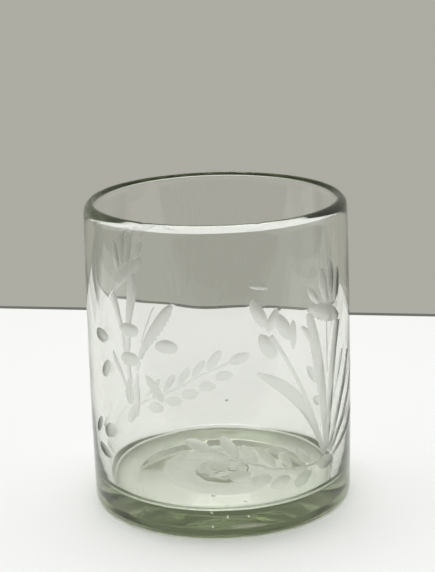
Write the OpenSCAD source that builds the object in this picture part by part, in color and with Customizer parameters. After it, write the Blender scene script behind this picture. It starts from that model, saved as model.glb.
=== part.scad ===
// Hand-blown shot glass: a heavy-based tumbler of faintly green glass with
// wheel-cut flowers and leaves, and the small wad of glass that the pontil
// iron leaves under its base. It stands on Z = 0 with +Z up, and -Y is its front.
// All sizes are in millimetres and all angles in degrees.

/* [Glass] */
// Height from the resting surface to the top of the lip
glass_h = 60; // [57:1:63]
// Outer radius at the widest point of the slightly barrelled wall
belly_r = 25.7; // [25.2:0.1:26.2]
// Height of the widest point
belly_z = 24; // [18:1:30]
// Radius of the long arc that the wall follows from foot to lip
barrel_arc_r = 1440; // [1200:20:2000]
// Thickness of the wall at the lip
lip_wall = 1.7; // [1.5:0.1:2]
// How much thicker the wall is for each millimetre below the lip
wall_taper = 0.012; // [0:0.002:0.014]
// Radius of the rounded heel, where the wall meets the underside
heel_r = 1.4; // [1:0.1:1.8]

/* [Lip] */
// Height of the outer face that leans in under the lip
lip_lean_h = 1.1; // [0.6:0.1:2]
// Angle by which that face leans in
lip_lean = 8.5; // [4:0.5:12]
// Width and height of the sloped outer edge of the lip
lip_bevel = 0.9; // [0.7:0.1:1]
// Radius of the rounding below that sloped edge
lip_knee_r = 1.5; // [0.3:0.1:1.6]
// Radius of the rounding above it
lip_crest_r = 0.6; // [0.2:0.1:0.7]
// Radius of the inner edge of the lip
lip_edge_r = 0.2; // [0.15:0.05:0.3]

/* [Base] */
// Thickness of the solid base at the inside corner
base_t = 4.8; // [4.4:0.1:5.4]
// Radius of the inside floor, measured to the wall above it
floor_r = 22.9; // [22.4:0.1:23.2]
// Radius of the fillet between the inside floor and the wall
floor_fillet_r = 2; // [1.2:0.2:2.6]
// Outer radius of the hollow pushed up into the underside
kick_r = 17.5; // [16:0.5:19]
// Radius of the flat top of that hollow
kick_top_r = 12.3; // [10:0.1:13]
// Height of that hollow
kick_h = 1.4; // [1.2:0.1:2]
// Radius of the rounding at the bottom and top of its sloped side
kick_round_r = 3; // [1:0.5:4]

/* [Pontil wad] */
// Radius of the wad left by the pontil iron
wad_r = 5.5; // [4:0.5:6.5]
// How far the wad stands down from the top of the hollow
wad_h = 0.6; // [0.4:0.1:1]

/* [Wheel cutting] */
// Depth of an oval cut at its middle
oval_depth = 0.15; // [0.1:0.05:0.3]
// Depth of a blade or stem cut at its middle
blade_depth = 0.12; // [0.1:0.02:0.2]
// Bearing of the first plant, counted from the front towards the right
plant_bearing = 50; // [0:5:355]
// Angle from the first plant to the second
plant_turn = 180; // [170:5:190]

/* [Hidden] */
$fn = 96;
// Largest wheel used for a straight cut
wheel_r_max = 400;
// How far a wheel's solid reaches past the cut it leaves
wheel_clear = 0.2;
// Flat steps in which OpenSCAD draws the sweep of one cut
sweep_steps = 10;

// Outer radius of the wall at height z
function wall_r(z) = belly_r - pow(z - belly_z, 2) / (2 * barrel_arc_r);

// Height of the bottom end of the bore, above the fillet of the inside floor
bore_foot = base_t + floor_fillet_r;
// Height over which the wall's extra thickness at its foot dies away
thinning_h = 5;
wall_steps = 6;
bore_steps = 9;

// Radius of the bore at height z: an even wall that grows thicker near the base
function bore_r(z) =
    wall_r(z) - lip_wall - wall_taper * (glass_h - z) - foot_extra * exp(-(z - bore_foot) / thinning_h);
foot_extra = wall_r(bore_foot) - lip_wall - wall_taper * (glass_h - bore_foot) - floor_r;

// Each oval is [bearing from its plant, height, length, width, slope]. The
// slope is the angle by which the oval rises towards the right. Both plants
// have a spray of leaves, a bud and a cluster of leaves.
SPRAY_LEAVES = [
    [-60, 19, 5.2, 2.2, -22],
    [-47, 18.6, 5.2, 2.2, -52], [-39, 17, 4.6, 1.8, -48], [-31, 15.6, 4.5, 1.8, -50],
    [-23, 14.8, 4.2, 1.8, -48], [-14, 14.6, 4.4, 1.8, -45],
    [-52, 15.2, 4.2, 2.2, -8], [-43, 12.8, 4.2, 2.2, 0], [-34, 11.5, 4, 2.3, 6],
    [-25, 10.5, 4.2, 2.3, 14], [-14, 10, 4.4, 2.4, 24]
];
BUD = [
    [0, 46.4, 7, 2.6, 104], [5, 47, 7.4, 2.4, 90], [10, 45.6, 6.6, 2.2, 78],
    [-4, 42, 5.2, 3, -15], [6, 41, 5.2, 3, -15], [-7, 45, 4.2, 1.6, -50]
];
LEAF_CLUSTER = [[-115, 18.5, 4.6, 1.9, 50], [-105, 18.5, 4.6, 2.8, 25], [-111, 13.7, 5, 2.2, -15]];

// The first plant also has an open blossom and a daisy
FIRST_KNOT = [[0, 11.7, 4.6, 2.6, 0]];
BLOSSOM = [
    [-33.5, 43.5, 6, 2.4, -62], [-27.5, 42, 4.6, 2, 64], [-22.5, 40.4, 6, 2.6, -60],
    [-18, 38.7, 5.6, 1.4, 90], [-30, 37.2, 5.6, 2.8, -58]
];
DAISY = [
    [-90, 34.2, 4.7, 2.6, 0], [-90, 39.8, 4.6, 2.6, 0], [-109, 37, 4.8, 2.6, 0],
    [-106, 30.8, 4.4, 2.3, 52], [-72, 37.6, 4.6, 2.6, 0], [-78, 29.3, 6, 1.9, -52],
    [-91, 27.8, 5.2, 1.8, 88]
];
SECOND_KNOT = [[2.5, 10.8, 5, 3, -35]];
STRAY_PETAL = [[-71, 35.2, 4.8, 1.4, 0]];

// Each blade or stem is [bearing, height, bearing, height, width], end to end.
// The two plants were cut by eye, so their blades differ.
FIRST_BLADES = [
    [-35, 32.4, -16, 27.4, 2.4], [-22, 29.8, -2, 14.4, 2],
    [-29, 39.4, -14, 27, 0.9], [-17, 30, -1, 14, 0.9],
    [-9, 42, -3, 30, 2.4], [-5, 35, 0, 14, 2.4], [-14, 39.8, -6, 36, 1.6],
    [1.5, 39.5, 1.5, 29, 0.4],
    [10, 39, 1, 14, 2.2],
    [24, 31, 2, 14.4, 1.6], [34, 27, 3, 13.6, 1.5], [38, 19.5, 5, 12.6, 1.5]
];
SECOND_BLADES = [
    [-25, 31, -5, 22.6, 3], [-15, 31.5, -6.5, 25, 0.5], [-3.5, 19, -1.2, 9.8, 1.7],
    [-2, 40.5, 1.5, 30, 3.2], [1, 32, 3.5, 20, 2], [3.5, 23, 2.6, 13, 1.6],
    [16, 38.8, 8.5, 30.5, 2.2], [9.5, 32, 5, 21, 1.2],
    [18.5, 26, 5, 14.3, 1.3],
    [-14, 14.8, -6.5, 12.3, 0.6]
];
SPRAY_STEM = [[-2, 12, -29, 13, 0.5], [-26, 12.7, -58, 18.8, 0.5]];

// Points that replace the corner b between a and c by an arc of radius r
function rounded(a, b, c, r, steps = 5) =
    let (
        u = (a - b) / norm(a - b),
        v = (c - b) / norm(c - b),
        half = acos(u * v) / 2,
        mid = b + (u + v) / norm(u + v) * r / sin(half),
        from = b + u * r / tan(half) - mid,
        to = b + v * r / tan(half) - mid,
        turn = 90 - half
    )
    [for (i = [0 : steps]) mid + (from * sin(turn * (2 - 2 * i / steps)) + to * sin(turn * 2 * i / steps))
        / sin(2 * turn)];

// The hollow and the ring it stands on, from the middle to the wall
function underside() =
    let (
        top = [0, kick_h],
        shoulder = [kick_top_r, kick_h],
        ring = [kick_r, 0],
        heel = [wall_r(0), 0],
        wall = [wall_r(heel_r), heel_r + 0.001]
    )
    concat([top], rounded(top, shoulder, ring, kick_round_r), rounded(shoulder, ring, heel, kick_round_r),
        rounded(ring, heel, wall, heel_r));

// The barrelled outer wall, up to where the lip begins to lean in
function outer_wall() =
    let (low = heel_r, high = glass_h - lip_bevel - lip_lean_h)
    [for (i = [1 : wall_steps]) let (z = low + (high - low) * i / wall_steps) [wall_r(z), z]];

// The lip: leaning face, sloped outer edge, narrow top and inner edge
function lip() =
    let (
        start = [wall_r(glass_h - lip_bevel - lip_lean_h), glass_h - lip_bevel - lip_lean_h],
        knee = start + [-lip_lean_h * tan(lip_lean), lip_lean_h],
        crest = knee + [-lip_bevel, lip_bevel],
        inner = [bore_r(glass_h), glass_h],
        below = [bore_r(glass_h - 2), glass_h - 2]
    )
    concat(rounded(start, knee, crest, lip_knee_r), rounded(knee, crest, inner, lip_crest_r),
        rounded(crest, inner, below, lip_edge_r));

// The bore, and the fillet down to the inside floor
function bore() =
    let (high = glass_h - 1)
    concat(
        [for (i = [0 : bore_steps]) let (z = high + (bore_foot - high) * i / bore_steps) [bore_r(z), z]],
        [for (i = [1 : 6]) let (a = -15 * i)
            [floor_r - floor_fillet_r, bore_foot] + floor_fillet_r * [cos(a), sin(a)]],
        [[0, base_t]]
    );

// Outline of half the glass body
module body_section() {
    polygon(concat(underside(), outer_wall(), lip(), bore()));
}

// Moves its children to a point on the wall, with X round the glass towards
// the right, Y up the wall turned by slope, and Z straight out
module on_wall(bearing, z, slope) {
    rotate([0, 0, bearing])
        translate([0, -wall_r(z), z])
            rotate([90, 0, 0])
                rotate([0, 0, slope])
                    children();
}

// The part of a round-edged cutting wheel that bites a given depth into the
// wall, and leaves a cut of a given length along X and a given width
module cutting_wheel(length, width, depth, slope) {
    round_along = pow(cos(slope), 2) / belly_r;
    round_across = pow(sin(slope), 2) / belly_r;
    wheel_r = 1 / max(8 * depth / pow(length, 2) - round_along, 1 / wheel_r_max);
    edge_r = 1 / (8 * depth / pow(width, 2) - round_across);
    bite = depth + wheel_clear;
    sweep = 2 * asin(min(1, (length / 2 + wheel_clear) / wheel_r));
    translate([0, 0, wheel_r - depth])
        rotate([90, 0, 0])
            rotate([0, 0, -90 - sweep / 2])
                rotate_extrude(angle = sweep, $fn = ceil(sweep_steps * 360 / sweep))
                    intersection() {
                        translate([wheel_r - edge_r, 0]) circle(r = edge_r);
                        translate([wheel_r - bite, -width]) square([2 * bite, 2 * width]);
                    }
}

module oval_cut(c) {
    on_wall(c[0], c[1], c[4]) cutting_wheel(c[2], c[3], oval_depth, c[4]);
}

module blade_cut(b) {
    run = (b[2] - b[0]) * PI / 180 * belly_r;
    rise = b[3] - b[1];
    slope = atan2(rise, run);
    on_wall((b[0] + b[2]) / 2, (b[1] + b[3]) / 2, slope)
        cutting_wheel(norm([run, rise]), b[4], blade_depth, slope);
}

module plant(flowers, blades) {
    for (c = concat(flowers, SPRAY_LEAVES, BUD, LEAF_CLUSTER)) oval_cut(c);
    for (b = concat(blades, SPRAY_STEM)) blade_cut(b);
}

module blown_body() {
    color("honeydew", 0.5)
        difference() {
            rotate_extrude() body_section();
            rotate([0, 0, plant_bearing]) plant(concat(FIRST_KNOT, BLOSSOM, DAISY), FIRST_BLADES);
            rotate([0, 0, plant_bearing + plant_turn])
                plant(concat(SECOND_KNOT, STRAY_PETAL), SECOND_BLADES);
        }
}

module pontil_wad() {
    color("palegreen", 0.6)
        translate([0, 0, kick_h - wad_h]) cylinder(r = wad_r, h = wad_h);
}

blown_body();
pontil_wad();
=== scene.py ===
import math

import bpy
import numpy as np
from mathutils import Matrix, Vector, geometry, kdtree, noise


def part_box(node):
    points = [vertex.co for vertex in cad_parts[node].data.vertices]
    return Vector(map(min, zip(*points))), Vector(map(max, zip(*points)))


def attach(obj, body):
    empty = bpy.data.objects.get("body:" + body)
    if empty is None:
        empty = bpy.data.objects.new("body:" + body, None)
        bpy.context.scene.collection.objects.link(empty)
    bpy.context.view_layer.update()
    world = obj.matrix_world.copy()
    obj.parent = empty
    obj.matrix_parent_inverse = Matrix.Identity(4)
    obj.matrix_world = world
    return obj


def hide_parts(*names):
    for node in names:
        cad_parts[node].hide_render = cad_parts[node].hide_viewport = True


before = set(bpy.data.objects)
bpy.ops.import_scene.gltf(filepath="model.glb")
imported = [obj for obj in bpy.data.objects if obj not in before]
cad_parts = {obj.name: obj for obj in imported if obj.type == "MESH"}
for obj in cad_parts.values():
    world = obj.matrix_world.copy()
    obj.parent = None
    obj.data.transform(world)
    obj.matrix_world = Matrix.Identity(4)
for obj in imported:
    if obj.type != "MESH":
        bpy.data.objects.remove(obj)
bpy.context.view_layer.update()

# ---------------------------------------------------------------- sizes, in millimetres
MM = 0.001
body_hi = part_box("blown_body")[1]
wad_lo, wad_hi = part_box("pontil_wad")

# The wall is a shallow barrel, widest below its middle
HEIGHT = body_hi[2] / MM
BELLY_R = body_hi[0] / MM
BELLY_Z = 0.4 * HEIGHT
BARREL_ARC_R = 24 * HEIGHT
LIP_WALL = 1.7
# Thickness that the wall gains for each millimetre down
WALL_TAPER = 0.012

# The foot: rounded heel, solid base and inside floor, which is a little higher over the hollow
HEEL_R = 1.4
BASE_T = 4.8
FLOOR_R = 22.9
FLOOR_FILLET = 2.0
FOOT_Z = BASE_T + FLOOR_FILLET
FOOT_THINNING = 5.0
FLOOR_DOME_H = 0.45
FLOOR_DOME_R = 9.0

# The lip: a leaning outer face (in degrees), a sloped edge and a narrow top, with rounded corners
LIP_LEAN_H = 1.1
LIP_LEAN = 8.5
LIP_BEVEL = 0.9
LIP_KNEE_R = 1.5
LIP_CREST_R = 0.6
LIP_EDGE_R = 0.2
# The wall is cut and blown up to here; above it the lip begins to lean in
LIP_Z = HEIGHT - LIP_BEVEL - LIP_LEAN_H
BORE_TOP = HEIGHT - 0.8
# The lip isn't quite level, and has a crease and a nick: bearing and half width in degrees, depth
LIP_TILT = 0.05
LIP_DENTS = ((-33, 1.6, 0.14), (18, 1.1, 0.16))

# The hollow of the underside: its radius at the foot and at the top of its sloping side
KICK_R = 17.5
KICK_TOP_R = 12.3
KICK_ROUND = 3.0
KICK_H = wad_hi[2] / MM

# The wad at the top of the hollow
WAD_R = wad_hi[0] / MM
WAD_Z = wad_lo[2] / MM
WAD_SIDE_R = WAD_R - 0.45
WAD_BREAK_R = WAD_R - 0.6
WAD_EDGE_R = 0.35
# Its top is sunk this far into the body, so that no gap shows between them
WAD_BURY = 0.03
# Its outline is ragged only beyond this radius
RAGGED_FROM = 4.0

# How far the hand-blown glass strays from the exact shape
WALL_STRAY = 0.03
RIPPLE = 0.006
FLOOR_RIPPLE = 0.02
HOLLOW_STRAY = 0.3

# The unevenness of the underside fades out below this height, so that the glass stands flat
STANDING_EASE = 0.3
# How matt the underside is, next to a ground cut
UNDERSIDE_MATT = 0.16
# Inside, the lip's unevenness passes into the bore's over this height
BORE_BLEND = 6.0

OVAL_DEPTH = 0.15
# An oval's outline strays by these shares of its size, in three waves and in five
OVAL_UNEVEN = (0.025, 0.015)
BLADE_DEPTH = 0.11
# A blade is cut less deep where it is narrower than this on each side, down to a least share
BLADE_FULL_HALF = 0.9
BLADE_LEAST_SHARE = 0.35
# A blade is nicked only where it is wider than this on each side
NICKED_HALF = 0.4

# Mesh spacing: steps round and up the wall, then between points in a cut and along its outline
ROUND_STEPS = 256
WALL_STEP = 0.62
CUT_STEP = 0.3
# Rows this share of a step apart give even triangles
ROW_SHARE = 0.87
# Where cuts overlap, their points are thinned to this share of a step
THIN_SHARE = 0.7
OUTLINE_STEP = 0.28
OVAL_LEAST_POINTS = 14
# Rounds of corner cutting that turn a blade's few points into a curve, and points for each nick
CURVE_ROUNDS = 3
NICK_POINTS = 4
CLEAR_OF_OUTLINE = 0.17
MERGE_GAP = 1e-5
SAME_PLACE = 1e-3
BORE_RINGS = 60
FLOOR_RINGS = 26
FILLET_STEPS = 9
BUBBLE_SIDES = 12
BUBBLE_RINGS = 8
WAD_STEPS = 72

# The large bubbles, as (radius, bearing, height, size)
LARGE_SEEDS = (
    (24.6, 177, 9.7, 0.24),
    (14.0, -8, 2.6, 0.3),
    (19.0, 2, 3.0, 0.28),
    (17.0, 14, 2.4, 0.26),
)
# The small bubbles: how many, and the least and most that their places and sizes go to
BASE_SEEDS = 16
BASE_SEED_R = (17, 24)
BASE_SEED_Z = (1.6, 3.8)
BASE_SEED_SIZE = (0.06, 0.17)
WALL_SEEDS = 22
WALL_SEED_Z = (9, 56)
WALL_SEED_SIZE = (0.05, 0.13)
SEED_STRETCH = (1, 1.6)

TURN = 2 * math.pi
ARC = TURN * BELLY_R
# The unrolled wall starts at a bearing that no cut crosses
SEAM = math.radians(-81)
LEFT_EDGE = SEAM * BELLY_R
RIGHT_EDGE = LEFT_EDGE + ARC

# ---------------------------------------------------------------- the wheel-cut pattern
# Bearings are in degrees from the middle of the plant, heights and sizes in millimetres.

# An oval is (bearing, height, length, width, slope), with the slope in degrees
FIRST_KNOT = [(0, 11.7, 4.6, 2.6, 0)]
SECOND_KNOT = [(2.5, 10.8, 5, 3, -35)]
SPRAY_LEAVES = [
    (-60, 19, 5.2, 2.2, -22),
    (-47, 18.6, 5.2, 2.2, -52),
    (-39, 17, 4.6, 1.8, -48),
    (-31, 15.6, 4.5, 1.8, -50),
    (-23, 14.8, 4.2, 1.8, -48),
    (-14, 14.6, 4.4, 1.8, -45),
    (-52, 15.2, 4.2, 2.2, -8),
    (-43, 12.8, 4.2, 2.2, 0),
    (-34, 11.5, 4, 2.3, 6),
    (-25, 10.5, 4.2, 2.3, 14),
    (-14, 10, 4.4, 2.4, 24),
]
BLOSSOM = [
    (-33.5, 43.5, 6, 2.4, -62),
    (-27.5, 42, 4.6, 2, 64),
    (-22.5, 40.4, 6, 2.6, -60),
    (-18, 38.7, 5.6, 1.4, 90),
    (-30, 37.2, 5.6, 2.8, -58),
]
BUD = [
    (0, 46.4, 7, 2.6, 104),
    (5, 47, 7.4, 2.4, 90),
    (10, 45.6, 6.6, 2.2, 78),
    (-7, 45, 4.2, 1.6, -50),
]
DAISY = [
    (-90, 34.2, 4.7, 2.6, 0),
    (-90, 39.8, 4.6, 2.6, 0),
    (-109, 37, 4.8, 2.6, 0),
    (-106, 30.8, 4.4, 2.3, 52),
    (-72, 37.6, 4.6, 2.6, 0),
    (-78, 29.3, 6, 1.9, -52),
    (-91, 27.8, 5.2, 1.8, 88),
]
LEAF_CLUSTER = [
    (-115, 18.5, 4.6, 1.9, 50),
    (-105, 18.5, 4.6, 2.8, 25),
    (-111, 13.7, 5, 2.2, -15),
]
STRAY_PETAL = [(-71, 35.2, 4.8, 1.4, 0)]
# The ovals that both plants have
OVALS = SPRAY_LEAVES + BUD + LEAF_CLUSTER

# A blade is a line of (bearing, height, width) points. teeth is the height of the
# nicks that the wheel left along its left or lower side. The two plants were cut by
# eye, so their blades differ.
FIRST_BLADES = [
    {"line": [(-35, 32.4, 0.5), (-29, 30.9, 1.9), (-22, 28.6, 2.6),
              (-14, 25, 2.4), (-7, 19.8, 1.6), (-1.5, 13.6, 0.8)]},
    {"line": [(-28.5, 39.2, 0.8), (-22, 34.6, 0.8), (-16.5, 30, 0.8),
              (-11.5, 25.5, 0.8), (-6.5, 20.2, 0.8), (-1, 14, 0.6)]},
    {"line": [(-9.5, 42, 1.4), (-7, 37.5, 2.6), (-4, 31.5, 2.6),
              (-1.8, 25.5, 2.2), (-0.4, 19.5, 1.6), (0, 13.6, 0.8)],
     "teeth": 0.35},
    {"line": [(-13.8, 39.8, 0.5), (-10.5, 38.3, 1.5), (-7, 36.3, 1.8)]},
    {"line": [(1.5, 39.5, 0.35), (1.6, 29.5, 0.35)]},
    {"line": [(10.5, 38.6, 2.2), (6.5, 33, 2.2), (4.2, 27, 2), (2.4, 20.5, 1.6), (0.8, 14, 0.8)]},
    {"line": [(23, 31, 1.2), (16, 25.5, 1.7), (8, 19, 1.5), (2, 13.8, 0.7)]},
    {"line": [(33, 27.5, 1.2), (23, 22.5, 1.6), (11, 17, 1.4), (3, 13.4, 0.7)]},
    {"line": [(38, 19.5, 1), (25, 17, 1.5), (12, 14, 1.2), (5, 12.4, 0.7)]},
]
SECOND_BLADES = [
    {"line": [(-26, 31.8, 1), (-22.5, 30.2, 2.8), (-17, 27.6, 3.2),
              (-11.5, 25.4, 2.6), (-6.5, 23, 1.7), (-3, 19.5, 1)],
     "teeth": 0.45},
    {"line": [(-16.1, 32, 0.35), (-13.9, 31, 0.4), (-11.7, 29, 0.45),
              (-8.9, 27, 0.45), (-6.7, 25, 0.4)]},
    {"line": [(-3.5, 19, 0.6), (-2, 17, 1.5), (-1.8, 14, 1.8), (-1.5, 11, 1.6), (-1, 9.6, 0.8)]},
    {"line": [(-1.8, 40.5, 2.4), (-1.7, 36, 3.4), (1, 31.8, 2.4), (2.8, 28, 1.9),
              (3.5, 24, 1.9), (3.3, 20, 1.7), (2.6, 16, 1.4), (2.6, 12.8, 0.8)]},
    {"line": [(15.5, 38.5, 2.4), (11.5, 35, 2.4), (9.5, 32.3, 1.8),
              (7.5, 29, 1.3), (6, 25, 0.9), (4.6, 20.5, 0.6)]},
    {"line": [(18, 26, 1.4), (13, 22.5, 1.5), (10, 20.3, 1.2), (7.5, 17.5, 1), (5, 14.3, 0.7)]},
    {"line": [(-14, 14.8, 0.5), (-10, 13.7, 0.7), (-6.7, 12.3, 0.5)]},
]
BUD_BOWL = {
    "line": [(-9.5, 43, 1.2), (-5, 42, 2.8), (2, 41, 3.2), (8, 40, 2.4), (11.5, 39, 1)],
    "teeth": 0.3,
}
SPRAY_STEM = {
    "line": [(-3, 12.1, 0.5), (-15, 12.3, 0.5), (-27, 13.1, 0.5), (-40, 15.4, 0.5), (-57, 18.4, 0.5)],
}
# Bearing of each plant, the ovals that only it has, and the blades that only it has
PLANTS = (
    (50, FIRST_KNOT + BLOSSOM + DAISY, FIRST_BLADES),
    (230, SECOND_KNOT + STRAY_PETAL, SECOND_BLADES),
)


def wall_r(z):
    """Outer radius of the wall at a height, as the frame has it."""
    return BELLY_R - (z - BELLY_Z) ** 2 / (2 * BARREL_ARC_R)


def stray(bearing, z, phase=0.0):
    """How far the hand-blown wall stands inside the exact one, never less than nothing.

    Two and three slow waves go round the glass, which makes it a little out of round, and
    fine ripples lie over them.
    """
    slow = 0.5 + 0.28 * np.sin(2 * bearing + 0.7 + phase + 0.02 * z)
    slow = slow + 0.22 * np.sin(3 * bearing - 0.05 * z + 1.9 * phase)
    ripple = np.sin(0.55 * z + 2.1 * np.sin(bearing + phase)) * np.sin(7 * bearing + 0.13 * z)
    return WALL_STRAY * slow + RIPPLE * (1 + ripple)


# ---------------------------------------------------------------- cuts
def unrolled(bearing_deg):
    """Distance round the unrolled wall, counted from the front, within one turn of the seam."""
    angle = math.radians(bearing_deg)
    return (SEAM + (angle - SEAM) % TURN) * BELLY_R


def slope_axes(slope_deg):
    """Directions along and across a cut that slopes up to the right."""
    a = math.radians(slope_deg)
    return np.array([[math.cos(a), math.sin(a)], [-math.sin(a), math.cos(a)]])


class OvalCut:
    """A short cut with round ends, made by pressing the wheel into the wall once."""

    def __init__(self, bearing, z, length, width, slope):
        self.middle = np.array([unrolled(bearing), z])
        self.half = np.array([length, width]) / 2
        self.axes = slope_axes(slope)
        self.seed = 0.37 * bearing + 1.3 * z

    def outline(self):
        """Closed line round the cut, a little uneven as hand work is."""
        count = max(OVAL_LEAST_POINTS, int(2.6 * self.half.sum() / OUTLINE_STEP))
        t = np.arange(count) * TURN / count
        three, five = OVAL_UNEVEN
        uneven = 1 + three * np.sin(3 * t + self.seed) + five * np.sin(5 * t + 2 * self.seed)
        local = np.stack([np.cos(t), np.sin(t)], 1) * self.half * uneven[:, None]
        return self.middle + local @ self.axes

    def depth(self, points):
        """Depth of the cut at points of the unrolled wall, which is nothing outside it."""
        local = (points - self.middle) @ self.axes.T / self.half
        return OVAL_DEPTH * np.clip(1 - (local**2).sum(1), 0, None)


class BladeCut:
    """A long cut, made by drawing the wheel along a line."""

    def __init__(self, bearing, line, teeth=0.0):
        points = np.array([(unrolled(bearing + b), z, w) for b, z, w in line])
        for _ in range(CURVE_ROUNDS):
            points = corner_cut(points)
        self.line = respace(points, OUTLINE_STEP)
        self.teeth = teeth

    def outline(self):
        """Closed line round the cut: along one side, and back along the nicked one."""
        along = np.gradient(self.line[:, :2], axis=0)
        along /= np.linalg.norm(along, axis=1)[:, None]
        side = np.stack([-along[:, 1], along[:, 0]], 1)
        half = self.line[:, 2] / 2
        teeth = self.teeth * (np.arange(len(half)) % NICK_POINTS) / (NICK_POINTS - 1)
        nick = teeth * np.clip(half - NICKED_HALF, 0, 1)
        plain_side = self.line[:, :2] + side * half[:, None]
        nicked_side = self.line[:, :2] - side * (half + nick)[:, None]
        return np.concatenate([plain_side, nicked_side[::-1]])

    def depth(self, points):
        """Depth of the cut at points of the unrolled wall, which is nothing outside it."""
        found = np.zeros(len(points))
        widest = self.line[:, 2].max()
        lo = self.line[:, :2].min(0) - widest
        hi = self.line[:, :2].max(0) + widest
        near = np.where(((points > lo) & (points < hi)).all(1))[0]
        if len(near) == 0:
            return found
        gap = np.linalg.norm(points[near, None] - self.line[None, :, :2], axis=2)
        nearest = gap.argmin(1)
        half = self.line[nearest, 2] / 2
        shape = 1 - (gap[np.arange(len(near)), nearest] / half) ** 2
        share = np.clip(half / BLADE_FULL_HALF, BLADE_LEAST_SHARE, 1)
        found[near] = BLADE_DEPTH * share * np.clip(shape, 0, None)
        return found


def corner_cut(points):
    """One round of corner cutting, which keeps the two ends."""
    first = 0.75 * points[:-1] + 0.25 * points[1:]
    second = 0.25 * points[:-1] + 0.75 * points[1:]
    middle = np.stack([first, second], 1).reshape(-1, points.shape[1])
    return np.concatenate([points[:1], middle[1:-1], points[-1:]])


def respace(points, step):
    """The same line with points at even steps."""
    lengths = np.linalg.norm(np.diff(points[:, :2], axis=0), axis=1)
    run = np.concatenate([[0], np.cumsum(lengths)])
    at = np.linspace(0, run[-1], max(3, int(run[-1] / step)))
    return np.stack([np.interp(at, run, points[:, i]) for i in range(points.shape[1])], 1)


def all_cuts():
    """Every cut of both plants."""
    cuts = []
    for plant, flowers, blades in PLANTS:
        cuts += [OvalCut(plant + b, *rest) for b, *rest in flowers + OVALS]
        cuts += [BladeCut(plant, **blade) for blade in [*blades, BUD_BOWL, SPRAY_STEM]]
    return cuts


def inside(points, outline):
    """Which points lie inside a closed outline: it passes an odd number of times to their right."""
    held = np.zeros(len(points), bool)
    near = np.where(((points > outline.min(0)) & (points < outline.max(0))).all(1))[0]
    if len(near) == 0:
        return held
    x, y = points[near, 0][:, None], points[near, 1][:, None]
    x0, y0 = outline.T
    x1, y1 = np.roll(outline, -1, 0).T
    crosses = (y0 > y) != (y1 > y)
    # A level edge is never crossed, and only has to not divide by nothing
    where = x0 + (y - y0) / np.where(y1 == y0, 1e-12, y1 - y0) * (x1 - x0)
    held[near] = (crosses & (x < where)).sum(1) % 2 == 1
    return held


# ---------------------------------------------------------------- mesh of the outer wall
def wall_grid():
    """Border points and grid points of the unrolled wall, in staggered rows."""
    rows = int((LIP_Z - HEEL_R) / WALL_STEP)
    heights = np.linspace(HEEL_R, LIP_Z, rows + 1)
    across = LEFT_EDGE + np.arange(ROUND_STEPS + 1) * ARC / ROUND_STEPS
    border = [(s, z) for s in across for z in (HEEL_R, LIP_Z)]
    border += [(s, z) for s in (LEFT_EDGE, RIGHT_EDGE) for z in heights[1:-1]]
    grid = []
    for i, z in enumerate(heights[1:-1]):
        shift = ARC / ROUND_STEPS * (0.5 if i % 2 else 0)
        grid += [(s + shift, z) for s in across[1:-1]]
    return np.array(border), np.array(grid)


def cut_grid(outline):
    """Fine staggered rows of points inside one cut."""
    lo, hi = outline.min(0), outline.max(0)
    points = []
    for j, y in enumerate(np.arange(lo[1], hi[1], CUT_STEP * ROW_SHARE)):
        shift = CUT_STEP / 2 if j % 2 else 0
        points += [(x + shift, y) for x in np.arange(lo[0], hi[0], CUT_STEP)]
    points = np.array(points)
    return points[inside(points, outline)]


def wall_points(outlines):
    """Border points, and the free points in and between the cuts, on the unrolled wall."""
    border, grid = wall_grid()
    fine = np.concatenate([cut_grid(outline) for outline in outlines])
    fine = thinned(fine, CUT_STEP * THIN_SHARE)
    in_cut = np.zeros(len(grid), bool)
    for outline in outlines:
        in_cut |= inside(grid, outline)
    free = np.concatenate([grid[~in_cut], fine])
    return border, free[far_from(free, np.concatenate(outlines), CLEAR_OF_OUTLINE)]


def point_tree(points):
    """A search tree over flat points."""
    tree = kdtree.KDTree(len(points))
    for i, p in enumerate(points):
        tree.insert((p[0], p[1], 0), i)
    tree.balance()
    return tree


def far_from(points, others, gap):
    """Which points lie further than gap from all the others."""
    tree = point_tree(others)
    return np.array([tree.find((p[0], p[1], 0))[2] > gap for p in points])


def thinned(points, gap):
    """Leaves out points that lie closer than gap to an earlier one."""
    tree = point_tree(points)
    keep = np.ones(len(points), bool)
    for i, p in enumerate(points):
        if not keep[i]:
            continue
        for _, j, _ in tree.find_range((p[0], p[1], 0), gap):
            if j > i:
                keep[j] = False
    return points[keep]


def triangulated_wall(cuts):
    """Points and triangles of the unrolled wall, with an edge along every cut's outline.

    Also gives which triangles are ground, and how deep each point is cut.
    """
    outlines = [cut.outline() for cut in cuts]
    border, free = wall_points(outlines)
    points = [Vector(p) for p in np.concatenate([border, free, *outlines])]
    edges = []
    start = len(border) + len(free)
    for outline in outlines:
        count = len(outline)
        edges += [(start + i, start + (i + 1) % count) for i in range(count)]
        start += count
    made = geometry.delaunay_2d_cdt(points, edges, [], 0, MERGE_GAP, False)
    flat = np.array([v[:] for v in made[0]])
    triangles = np.array([f for f in made[2] if len(f) == 3])
    middles = flat[triangles].mean(1)
    ground = np.zeros(len(triangles), bool)
    depth = np.zeros(len(flat))
    for cut, outline in zip(cuts, outlines):
        ground |= inside(middles, outline)
        depth = np.maximum(depth, cut.depth(flat))
    return flat, triangles, ground, depth


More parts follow.
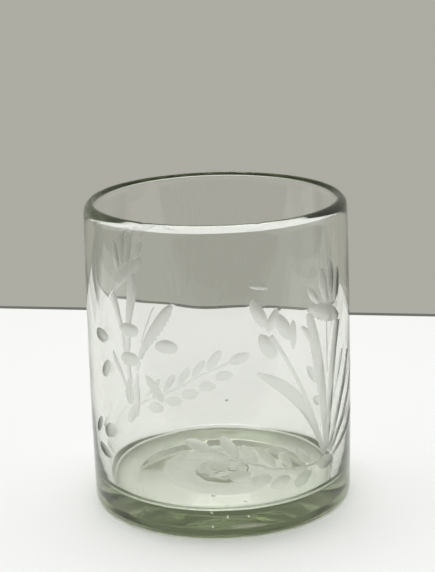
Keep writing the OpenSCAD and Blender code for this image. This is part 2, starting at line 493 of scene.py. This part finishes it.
# ---------------------------------------------------------------- mesh of the whole body
class Builder:
    """Collects points and faces of one mesh, with a mark on each face for how ground it is."""

    def __init__(self):
        self.points = []
        self.faces = []
        self.ground = []
        # The mark of faces that are added without one of their own
        self.matt = 0.0

    def add_points(self, points):
        """Adds points in millimetres and returns their numbers."""
        start = len(self.points)
        self.points += [tuple(p) for p in points]
        return np.arange(start, len(self.points))

    def add_faces(self, faces, ground=None):
        """Adds faces by the numbers of their points."""
        faces = [tuple(int(i) for i in f) for f in faces]
        self.faces += faces
        self.ground += list(np.broadcast_to(self.matt if ground is None else ground, len(faces)))

    def next_ring(self, ring, points, facing_in=False):
        """Adds a ring of points below or within the last one, and the band of faces between them.

        facing_in turns the faces towards the axis, as the inside of the glass has them.
        """
        new = self.add_points(points)
        if facing_in:
            self.band(new, ring)
        else:
            self.band(ring, new)
        return new

    def band(self, upper, lower):
        """Faces between two rings whose points run round the same way."""
        after_u, after_l = np.roll(upper, -1), np.roll(lower, -1)
        self.add_faces(zip(upper, lower, after_l, after_u))

    def fan(self, ring, tip):
        """Faces between a ring and one point. They face up if the ring's bearings increase."""
        for a, b in zip(ring, np.roll(ring, -1)):
            self.add_faces([(a, b, tip)])

    def finish(self, name):
        """The object, in metres."""
        mesh = bpy.data.meshes.new(name)
        mesh.from_pydata([[c * MM for c in p] for p in self.points], [], self.faces)
        mesh.validate()
        mesh.update()
        mark = mesh.attributes.new("ground", "FLOAT", "FACE")
        mark.data.foreach_set("value", np.array(self.ground, np.float32))
        mesh.polygons.foreach_set("use_smooth", [True] * len(mesh.polygons))
        obj = bpy.data.objects.new(name, mesh)
        bpy.context.scene.collection.objects.link(obj)
        return obj


def on_circle(bearings, radius, z):
    """Points at bearings, which are counted from the front."""
    radius = np.broadcast_to(radius, bearings.shape)
    z = np.broadcast_to(z, bearings.shape)
    return np.stack([radius * np.sin(bearings), -radius * np.cos(bearings), z], 1)


def outer_surface(builder):
    """Adds the cut wall, and returns the rings at its top and bottom with their bearings."""
    flat, triangles, ground, depth = triangulated_wall(all_cuts())
    bearings = flat[:, 0] / BELLY_R
    radius = wall_r(flat[:, 1]) - stray(bearings, flat[:, 1]) - depth
    at_right = np.abs(flat[:, 0] - RIGHT_EDGE) < SAME_PLACE
    at_left = np.where(np.abs(flat[:, 0] - LEFT_EDGE) < SAME_PLACE)[0]
    # Rolled up, the right edge lies on the left one, so faces there use the left one's points
    merged = np.arange(len(flat))
    for i in np.where(at_right)[0]:
        merged[i] = at_left[np.abs(flat[at_left, 1] - flat[i, 1]).argmin()]
    index = builder.add_points(on_circle(bearings, radius, flat[:, 1]))
    builder.add_faces(index[merged[triangles]], ground.astype(float))
    rings = []
    for z in (LIP_Z, HEEL_R):
        row = np.where((np.abs(flat[:, 1] - z) < SAME_PLACE) & ~at_right)[0]
        rings.append(index[row[np.argsort(flat[row, 0])]])
    around = SEAM + np.arange(ROUND_STEPS) * TURN / ROUND_STEPS
    return rings[0], rings[1], around


def arc_points(mid_r, mid_z, radius, start, end, steps):
    """Points of an arc, between two angles in degrees."""
    angles = np.radians(np.linspace(start, end, steps + 1))
    return [(mid_r + radius * math.cos(a), mid_z + radius * math.sin(a)) for a in angles]


def rounded(corners, steps=5):
    """A line through (r, z, radius) corners, with each corner rounded to its radius."""
    points = [np.array(corners[0][:2])]
    for before, corner, after in zip(corners, corners[1:], corners[2:]):
        a, b, c = (np.array(p[:2]) for p in (before, corner, after))
        radius = corner[2]
        u = (a - b) / np.linalg.norm(a - b)
        v = (c - b) / np.linalg.norm(c - b)
        half = math.acos(u @ v) / 2
        middle = b + (u + v) / np.linalg.norm(u + v) * radius / math.sin(half)
        first = b + u * radius / math.tan(half) - middle
        last = b + v * radius / math.tan(half) - middle
        turn = math.pi - 2 * half
        for t in np.linspace(0, turn, steps + 1):
            spoke = (first * math.sin(turn - t) + last * math.sin(t)) / math.sin(turn)
            points.append(middle + spoke)
    return points + [np.array(corners[-1][:2])]


def lip_rise(around):
    """How far the lip stands above its exact height, which is never more than nothing."""
    rise = -LIP_TILT + LIP_TILT * np.sin(around + 2.2)
    for bearing, width, dip in LIP_DENTS:
        off = np.degrees((around - math.radians(bearing) + math.pi) % TURN - math.pi)
        rise -= dip * np.exp(-((off / width) ** 2))
    return rise


def lip_profile():
    """The leaning face, the sloped outer edge, the narrow top and the inner edge."""
    start = wall_r(LIP_Z)
    knee = start - LIP_LEAN_H * math.tan(math.radians(LIP_LEAN))
    corners = [
        (start, LIP_Z, 0),
        (knee, LIP_Z + LIP_LEAN_H, LIP_KNEE_R),
        (knee - LIP_BEVEL, HEIGHT, LIP_CREST_R),
        (bore_r(HEIGHT), HEIGHT, LIP_EDGE_R),
        (bore_r(BORE_TOP), BORE_TOP, 0),
    ]
    return rounded(corners)


def bore_r(z):
    """Radius of the inside at a height: the wall grows thicker downwards, mostly at its foot."""
    extra = wall_r(FOOT_Z) - LIP_WALL - WALL_TAPER * (HEIGHT - FOOT_Z) - FLOOR_R
    even = wall_r(z) - LIP_WALL - WALL_TAPER * (HEIGHT - z)
    return even - extra * math.exp(-(z - FOOT_Z) / FOOT_THINNING)


def floor_z(r):
    """Height of the inside floor, which is a little higher over the hollow."""
    return BASE_T + FLOOR_DOME_H * np.exp(-((r / FLOOR_DOME_R) ** 2))


def bore_stray(around, z):
    """How far the bore strays from its exact radius, either way."""
    return stray(around, z, phase=1.3) - WALL_STRAY


def inner_surface(builder, lip_ring, around):
    """Adds the lip, the bore and the inside floor, from the lip down to the middle."""
    ring = lip_ring
    for r, z in lip_profile()[1:]:
        share = ((z - LIP_Z) / (HEIGHT - LIP_Z)) ** 2
        points = on_circle(around, r - stray(around, LIP_Z), z + share * lip_rise(around))
        ring = builder.next_ring(ring, points, facing_in=True)
    for z in np.linspace(BORE_TOP, FOOT_Z, BORE_RINGS)[1:]:
        blend = min(1.0, (BORE_TOP - z) / BORE_BLEND)
        offset = blend * bore_stray(around, z) - (1 - blend) * stray(around, LIP_Z)
        ring = builder.next_ring(ring, on_circle(around, bore_r(z) + offset, z), facing_in=True)
    offset = bore_stray(around, FOOT_Z)
    for r, z in arc_points(FLOOR_R - FLOOR_FILLET, FOOT_Z, FLOOR_FILLET, 0, -90, FILLET_STEPS)[1:]:
        ring = builder.next_ring(ring, on_circle(around, r + offset, z), facing_in=True)
    for r in np.linspace(FLOOR_R - FLOOR_FILLET, 0, FLOOR_RINGS)[1:-1]:
        ripple = FLOOR_RIPPLE * np.sin(2 * around + 0.5 * r) * min(1, r / 6)
        points = on_circle(around, r, floor_z(r) + ripple)
        ring = builder.next_ring(ring, points, facing_in=True)
    tip = builder.add_points([(0, 0, floor_z(0))])[0]
    builder.fan(ring, tip)


def underside(builder, heel_ring, around):
    """Adds the heel, the ring the glass stands on and the hollow."""
    ring = heel_ring
    outer = wall_r(HEEL_R) - stray(around, HEEL_R)
    for r, z in arc_points(0, 0, HEEL_R, 0, -90, FILLET_STEPS)[1:]:
        ring = builder.next_ring(ring, on_circle(around, outer - HEEL_R + r, HEEL_R + z))
    builder.matt = UNDERSIDE_MATT
    for r, z in hollow_profile():
        ease = min(1, z / STANDING_EASE)
        waves = HOLLOW_STRAY * (np.sin(around * 2 + 0.8) + 0.5 * np.sin(around * 5))
        uneven = waves * ease * min(1, max(0, (r - WAD_R) / 6))
        dimple = RIPPLE * ease * (np.sin(2.4 * r + np.sin(3 * around)) - 1)
        ring = builder.next_ring(ring, on_circle(around, r + uneven, z + dimple))
    tip = builder.add_points([(0, 0, KICK_H)])[0]
    builder.fan(ring[::-1], tip)
    builder.matt = 0.0


def hollow_profile():
    """Radius and height of the underside, from the ring it stands on to near the middle."""
    standing = [(r, 0.0) for r in np.linspace(wall_r(0) - HEEL_R - 0.6, KICK_R + 2, 4)]
    slope = [
        (KICK_R + 1.5, 0, 0),
        (KICK_R, 0, KICK_ROUND),
        (KICK_TOP_R, KICK_H, KICK_ROUND),
        (9, KICK_H, 0),
    ]
    top = [(r, KICK_H) for r in (8.3, 7.6, 6.9, 6.2, WAD_R, 4.0, 2.5, 1.0)]
    return standing + rounded(slope, steps=8) + top


def add_seeds(builder):
    """Adds the small bubbles that hand-blown glass holds, as hollows that face inwards."""
    draw = np.random.default_rng(7)
    seeds = list(LARGE_SEEDS)
    for _ in range(BASE_SEEDS):
        r = draw.uniform(*BASE_SEED_R)
        bearing = draw.uniform(0, 360)
        z = draw.uniform(*BASE_SEED_Z)
        seeds.append((r, bearing, z, draw.uniform(*BASE_SEED_SIZE)))
    for _ in range(WALL_SEEDS):
        z = draw.uniform(*WALL_SEED_Z)
        r = (wall_r(z) + bore_r(z)) / 2 - 0.1
        seeds.append((r, draw.uniform(0, 360), z, draw.uniform(*WALL_SEED_SIZE)))
    for r, bearing, z, size in seeds:
        a = math.radians(bearing)
        middle = np.array([r * math.sin(a), -r * math.cos(a), z])
        add_bubble(builder, middle, size, stretch=draw.uniform(*SEED_STRETCH), lean=a)


def add_bubble(builder, middle, size, stretch, lean):
    """One bubble: rings round an upright axis, drawn out round the glass."""
    turns = np.arange(BUBBLE_SIDES) * TURN / BUBBLE_SIDES
    rings = []
    for t in np.linspace(0, math.pi, BUBBLE_RINGS)[1:-1]:
        flat = np.stack([np.cos(turns) * stretch, np.sin(turns)], 1) * math.sin(t) * size
        x = flat[:, 0] * math.cos(lean) - flat[:, 1] * math.sin(lean)
        y = flat[:, 0] * math.sin(lean) + flat[:, 1] * math.cos(lean)
        z = np.full(BUBBLE_SIDES, math.cos(t) * size)
        rings.append(builder.add_points(middle + np.stack([x, y, z], 1)))
    for upper, lower in zip(rings, rings[1:]):
        builder.band(lower, upper)
    top, low = builder.add_points([middle + [0, 0, size], middle - [0, 0, size]])
    builder.fan(rings[0][::-1], top)
    builder.fan(rings[-1], low)


def sharpen_cut_edges(obj):
    """Keeps the crisp edge where a ground cut meets the polished wall."""
    mesh = obj.data
    ground = np.zeros(len(mesh.polygons), np.float32)
    mesh.attributes["ground"].data.foreach_get("value", ground)
    sides = {}
    for polygon in mesh.polygons:
        for key in polygon.edge_keys:
            sides.setdefault(key, []).append(ground[polygon.index])
    sharp = [bool(np.ptp(sides[edge.key]) > 0.5) for edge in mesh.edges]
    mesh.edges.foreach_set("use_edge_sharp", sharp)


def blown_body():
    """The glass: the cut wall, the lip and inside, the underside and the bubbles."""
    builder = Builder()
    lip_ring, heel_ring, around = outer_surface(builder)
    inner_surface(builder, lip_ring, around)
    underside(builder, heel_ring, around)
    add_seeds(builder)
    obj = builder.finish("blown_body_glass")
    sharpen_cut_edges(obj)
    return obj


def wad_profile():
    """Radius and height of the wad, from near the middle of its top to the middle of its break."""
    top_z = KICK_H + WAD_BURY
    top = [(r, top_z) for r in (1.2, 2.4, 3.6, 4.6, WAD_SIDE_R)]
    side = arc_points(WAD_SIDE_R, top_z - WAD_EDGE_R, WAD_EDGE_R, 80, -80, 6)
    broken = [(r, WAD_Z) for r in np.linspace(WAD_BREAK_R, 0.4, 16)]
    return top + side + broken


def pontil_wad():
    """The wad of glass that the pontil iron left, snapped off and rough underneath."""
    builder = Builder()
    around = np.arange(WAD_STEPS) * TURN / WAD_STEPS
    ragged = 0.05 * np.sin(3 * around + 1) + 0.03 * np.sin(7 * around)
    top = builder.add_points([(0, 0, KICK_H + WAD_BURY)])[0]
    ring = None
    for r, z in wad_profile():
        lift = np.zeros(WAD_STEPS)
        if z <= WAD_Z + 0.05:
            lift = np.array([rough_break(r * math.sin(a), -r * math.cos(a)) for a in around])
        radius = r * (1 + ragged * (r > RAGGED_FROM))
        points = on_circle(around, np.minimum(radius, WAD_R), z + lift)
        if ring is None:
            ring = builder.add_points(points)
            builder.fan(ring, top)
        else:
            ring = builder.next_ring(ring, points)
    low = builder.add_points([(0, 0, WAD_Z + rough_break(0, 0))])[0]
    builder.fan(ring[::-1], low)
    return builder.finish("pontil_wad_glass")


def rough_break(x, y):
    """Height of the broken face above the exact one: broad humps with finer ones over them."""
    coarse = noise.noise(Vector((x * 0.45 + 3, y * 0.45, 0.3)))
    fine = noise.noise(Vector((x * 1.4, y * 1.4 + 5, 1.7)))
    return 0.08 + 0.1 * coarse + 0.03 * fine


# ---------------------------------------------------------------- materials
# Faintly green glass: the colour that thick glass goes, and how fast it gets there
GLASS_IOR = 1.5
ABSORPTION_COLOUR = (0.28, 0.36, 0.1)
ABSORPTION_DENSITY = 43.0
# Base colour of polished glass and of ground glass
CLEAR = (0.99, 0.99, 0.99)
FROSTED = (0.84, 0.85, 0.84)
# Roughness: up to the first on polished glass; the second, and up to the third more, on ground
POLISHED_ROUGH = 0.02
GROUND_ROUGH = 0.3
GRAIN_ROUGH = 0.15
# The fine relief of a ground face
GRAIN_HEIGHT = 0.03
GRAIN_STRENGTH = 0.6
# Scale, for each millimetre, and detail of each noise
SMEAR_NOISE = (0.12, 3)
GRAIN_NOISE = (3.0, 2)
PATCH_NOISE = (0.6, 3)
PATCH_MATT = 0.7


def object_place(tree):
    """Object coordinates in millimetres."""
    place = tree.nodes.new("ShaderNodeTexCoord")
    mapping = tree.nodes.new("ShaderNodeMapping")
    mapping.inputs["Scale"].default_value = [1 / MM] * 3
    tree.links.new(place.outputs["Object"], mapping.inputs["Vector"])
    return mapping.outputs["Vector"]


def noise_value(tree, place, scale, detail):
    """A soft random pattern from 0 to 1."""
    made = tree.nodes.new("ShaderNodeTexNoise")
    made.inputs["Scale"].default_value = scale
    made.inputs["Detail"].default_value = detail
    tree.links.new(place, made.inputs["Vector"])
    return made.outputs["Fac"]


def math_node(tree, operation, *values):
    """One calculation on numbers or on other nodes' outputs."""
    made = tree.nodes.new("ShaderNodeMath")
    made.operation = operation
    for socket, value in zip(made.inputs, values):
        if isinstance(value, (int, float)):
            socket.default_value = value
        else:
            tree.links.new(value, socket)
    return made.outputs["Value"]


def colour_ramp(tree, value, stops):
    """A colour that follows a value through (value, colour) stops."""
    ramp = tree.nodes.new("ShaderNodeValToRGB")
    elements = ramp.color_ramp.elements
    while len(elements) < len(stops):
        elements.new(1.0)
    for element, (position, colour) in zip(elements, stops):
        element.position = position
        element.color = (*colour, 1)
    tree.links.new(value, ramp.inputs["Fac"])
    return ramp.outputs["Color"]


def glass_material(name, ground_share):
    """Faintly green glass. ground_share(tree) gives how matt the surface is, from 0 to 1."""
    material = bpy.data.materials.new(name)
    material.use_nodes = True
    tree = material.node_tree
    shader = tree.nodes["Principled BSDF"]
    shader.inputs["Transmission Weight"].default_value = 1.0
    shader.inputs["IOR"].default_value = GLASS_IOR
    place = object_place(tree)
    ground = ground_share(tree)
    polished = math_node(tree, "MULTIPLY", noise_value(tree, place, *SMEAR_NOISE), POLISHED_ROUGH)
    grain = noise_value(tree, place, *GRAIN_NOISE)
    matt = math_node(tree, "MULTIPLY_ADD", grain, GRAIN_ROUGH, GROUND_ROUGH)
    rough = math_node(tree, "ADD", polished, math_node(tree, "MULTIPLY", ground, matt))
    tree.links.new(rough, shader.inputs["Roughness"])
    tint = colour_ramp(tree, ground, [(0.0, CLEAR), (1.0, FROSTED)])
    tree.links.new(tint, shader.inputs["Base Color"])
    add_bump(tree, shader, math_node(tree, "MULTIPLY", ground, grain))
    add_absorption(tree)
    return material


def add_bump(tree, shader, relief):
    """Lets light see the fine grain of a ground face."""
    bump = tree.nodes.new("ShaderNodeBump")
    bump.inputs["Distance"].default_value = GRAIN_HEIGHT * MM
    bump.inputs["Strength"].default_value = GRAIN_STRENGTH
    tree.links.new(relief, bump.inputs["Height"])
    tree.links.new(bump.outputs["Normal"], shader.inputs["Normal"])


def add_absorption(tree):
    """Makes light greener the further it goes through the glass."""
    volume = tree.nodes.new("ShaderNodeVolumeAbsorption")
    volume.inputs["Color"].default_value = (*ABSORPTION_COLOUR, 1)
    volume.inputs["Density"].default_value = ABSORPTION_DENSITY
    tree.links.new(volume.outputs["Volume"], tree.nodes["Material Output"].inputs["Volume"])


def cut_share(tree):
    """The mark that the mesh carries on each face."""
    mark = tree.nodes.new("ShaderNodeAttribute")
    mark.attribute_name = "ground"
    return mark.outputs["Fac"]


def broken_share(tree):
    """A snapped face is mostly glossy, with a few dull patches."""
    patches = noise_value(tree, object_place(tree), *PATCH_NOISE)
    return math_node(tree, "MULTIPLY", patches, PATCH_MATT)


def plain_material(name, colour, rough):
    """One colour all over."""
    material = bpy.data.materials.new(name)
    material.use_nodes = True
    shader = material.node_tree.nodes["Principled BSDF"]
    shader.inputs["Base Color"].default_value = (*colour, 1)
    shader.inputs["Roughness"].default_value = rough
    return material


# ---------------------------------------------------------------- stage, light and camera
# The table ends a little in front of the glass and behind it, at a slant in degrees
TABLE_FRONT = -75.0
TABLE_BACK = 124.0
TABLE_REACH = 116.0
TABLE_LEAN = -9.4
# Its wings reach further to the sides, and less far back
WING_BACK = 62.0
WING_REACH = 215.0
# Width of the painted shadow behind the table: a dark strip that stands in for the shade in the gap
# between the table and the wall
SHADOW_GAP = 2.5
FLOOR_REACH = 1500.0

# The table lies this far below the glass; its wings and the floor lie this far below the table
TABLE_GAP = 0.08
WING_DROP = 0.5
FLOOR_DROP = 1.0

STAGE_ROUGH = 0.5
PALE = (0.86, 0.865, 0.86)
# Colour of the painted shadow strip behind the table
SHADOW = (0.1, 0.1, 0.09)
FLOOR_GREY = (0.2, 0.2, 0.185)

# The room: dim behind the camera, grey beyond the table and light above
DIM_END = (0.14, 0.14, 0.13)
SIDE_GREY = (0.6, 0.6, 0.57)
WALL_GREY = (0.42, 0.415, 0.37)
CEILING = (0.95, 0.95, 0.95)
WALL_STOPS = [(0.2, DIM_END), (0.5, SIDE_GREY), (0.85, WALL_GREY)]
OVERHEAD_STOPS = [(0.2, (0.0, 0.0, 0.0)), (0.6, (0.3, 0.3, 0.3)), (0.95, (1.0, 1.0, 1.0))]

BOX_PLACE = (-10, 95, 560)
BOX_SIZE = (420, 260)
BOX_POWER = 1.7

CAMERA_BACK = 5.0 * HEIGHT
CAMERA_UP = 2.1 * HEIGHT
CAMERA_PITCH = 15.61
CAMERA_ROLL = -1.63
CAMERA_LENS = 100.7


def strip(name, front, back, reach, z, colour):
    """A flat piece of the stage that runs across, at the slant of the table's far edge."""
    mesh = bpy.data.meshes.new(name)
    lean = reach * math.tan(math.radians(TABLE_LEAN))
    corners = [
        (-reach, front - lean, z),
        (reach, front + lean, z),
        (reach, back + lean, z),
        (-reach, back - lean, z),
    ]
    mesh.from_pydata([[c * MM for c in p] for p in corners], [], [(0, 1, 2, 3)])
    obj = bpy.data.objects.new(name, mesh)
    obj.data.materials.append(plain_material(name, colour, STAGE_ROUGH))
    bpy.context.scene.collection.objects.link(obj)


def surround():
    """The room: a warm grey wall behind the glass, dim at the other end, light overhead."""
    world = bpy.data.worlds.new("surround")
    bpy.context.scene.world = world
    world.use_nodes = True
    tree = world.node_tree
    place = tree.nodes.new("ShaderNodeTexCoord")
    split = tree.nodes.new("ShaderNodeSeparateXYZ")
    tree.links.new(place.outputs["Generated"], split.inputs["Vector"])
    away = math_node(tree, "MULTIPLY_ADD", split.outputs["Y"], 0.5, 0.5)
    walls = colour_ramp(tree, away, WALL_STOPS)
    overhead = colour_ramp(tree, split.outputs["Z"], OVERHEAD_STOPS)
    mix = tree.nodes.new("ShaderNodeMix")
    mix.data_type = "RGBA"
    tree.links.new(overhead, mix.inputs["Factor"])
    tree.links.new(walls, mix.inputs["A"])
    mix.inputs["B"].default_value = (*CEILING, 1)
    tree.links.new(mix.outputs["Result"], tree.nodes["Background"].inputs["Color"])
    tree.nodes["Background"].inputs["Strength"].default_value = 1.0


def softbox():
    """A wide soft lamp above and behind the glass, aimed at its foot."""
    light = bpy.data.lights.new("overhead", "AREA")
    light.shape = "RECTANGLE"
    light.size = BOX_SIZE[0] * MM
    light.size_y = BOX_SIZE[1] * MM
    light.energy = BOX_POWER
    obj = bpy.data.objects.new("overhead", light)
    obj.location = [c * MM for c in BOX_PLACE]
    obj.rotation_mode = "QUATERNION"
    obj.rotation_quaternion = (-Vector(BOX_PLACE)).to_track_quat("-Z", "Y")
    bpy.context.scene.collection.objects.link(obj)


def camera():
    """Looks down at the glass from in front, with a slight roll."""
    data = bpy.data.cameras.new("camera")
    data.lens = CAMERA_LENS
    data.sensor_width = 36
    data.clip_start = 0.01
    obj = bpy.data.objects.new("camera", data)
    obj.location = (0, -CAMERA_BACK * MM, CAMERA_UP * MM)
    tilt = Matrix.Rotation(math.radians(90 - CAMERA_PITCH), 4, "X")
    roll = Matrix.Rotation(math.radians(CAMERA_ROLL), 4, "Z")
    obj.rotation_mode = "QUATERNION"
    obj.rotation_quaternion = (tilt @ roll).to_quaternion()
    bpy.context.scene.collection.objects.link(obj)
    bpy.context.scene.camera = obj


def light_paths():
    """Light goes round inside the thick base many times before it comes out."""
    cycles = bpy.context.scene.cycles
    cycles.max_bounces = 48
    cycles.glossy_bounces = 32
    cycles.transmission_bounces = 32
    cycles.blur_glossy = 0.0


# ---------------------------------------------------------------- the object
body_glass = glass_material("clear_glass", cut_share)
wad_glass = glass_material("wad_glass", broken_share)

body = blown_body()
body.data.materials.append(body_glass)
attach(body, "root")
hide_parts("blown_body")

wad = pontil_wad()
wad.data.materials.append(wad_glass)
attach(wad, "root")
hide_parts("pontil_wad")

strip("table", TABLE_FRONT, TABLE_BACK, TABLE_REACH, -TABLE_GAP, PALE)
strip("table_wings", TABLE_FRONT, WING_BACK, WING_REACH, -TABLE_GAP - WING_DROP, PALE)
# Painted shadow: a dark strip laid where the gap behind the table falls in shade
strip("painted_shadow_behind_table", TABLE_BACK, TABLE_BACK + SHADOW_GAP, TABLE_REACH, -TABLE_GAP, SHADOW)
strip("grey_floor", -FLOOR_REACH, TABLE_BACK, FLOOR_REACH, -TABLE_GAP - FLOOR_DROP, FLOOR_GREY)
surround()
softbox()
camera()
bpy.context.scene.view_settings.view_transform = "Standard"
light_paths()
